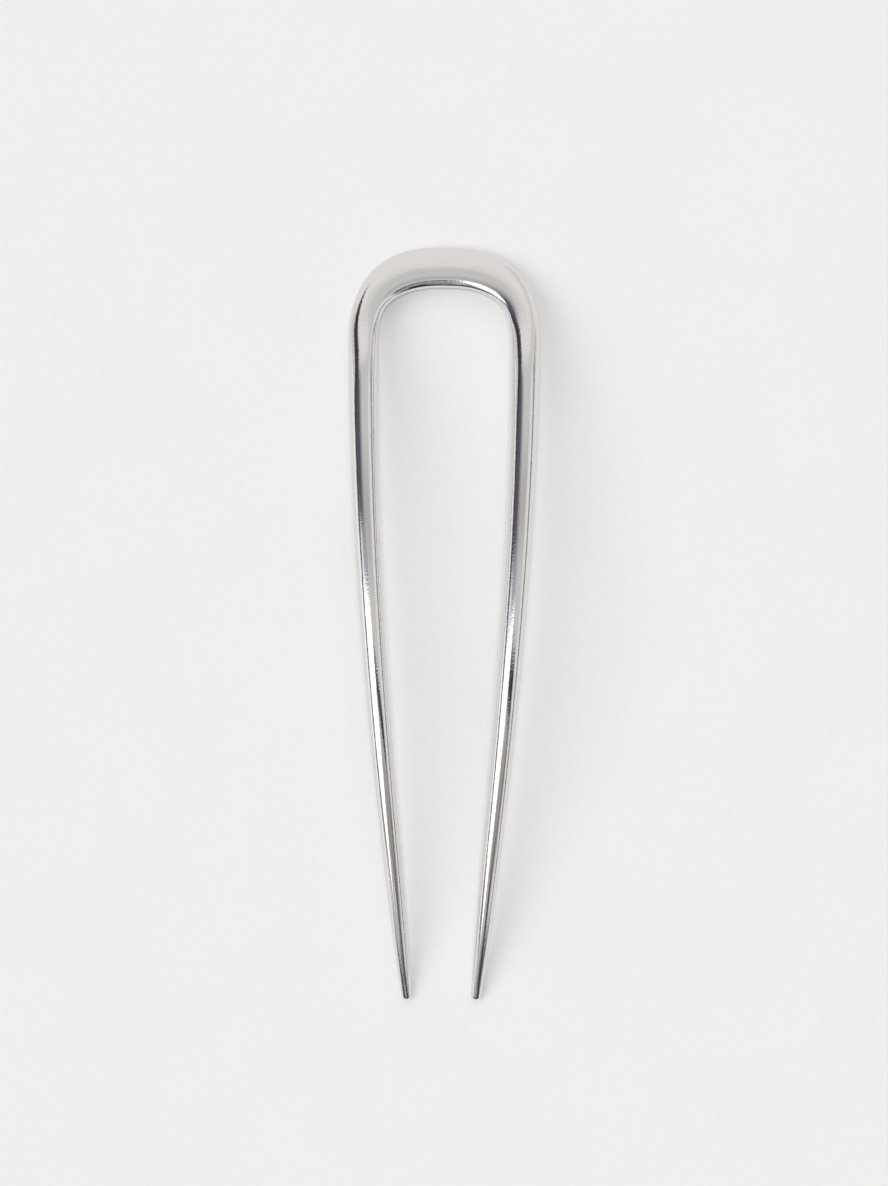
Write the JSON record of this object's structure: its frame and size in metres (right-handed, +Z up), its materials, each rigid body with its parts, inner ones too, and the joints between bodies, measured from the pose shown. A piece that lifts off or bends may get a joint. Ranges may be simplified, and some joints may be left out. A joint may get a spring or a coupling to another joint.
{
  "type": "hairpin",
  "caption": "U-shaped hairpin: a broad flattened crown runs into two round prongs that taper and draw together towards rounded tips, bowed along its length.",
  "frame": {"origin": "on the surface that the pin lies on, below the middle of its bounding box", "axes": "+Y from the tips towards the crown, +X across the two prongs, +Z up from the surface, towards the outside of the bow"},
  "size_m": [0.0304, 0.12, 0.0143],
  "materials": {
    "silver_plating": "mirror-polished silver-tone plating"
  },
  "bodies": {
    "root": {"hairpin": "silver_plating"}
  },
  "joints": []
}
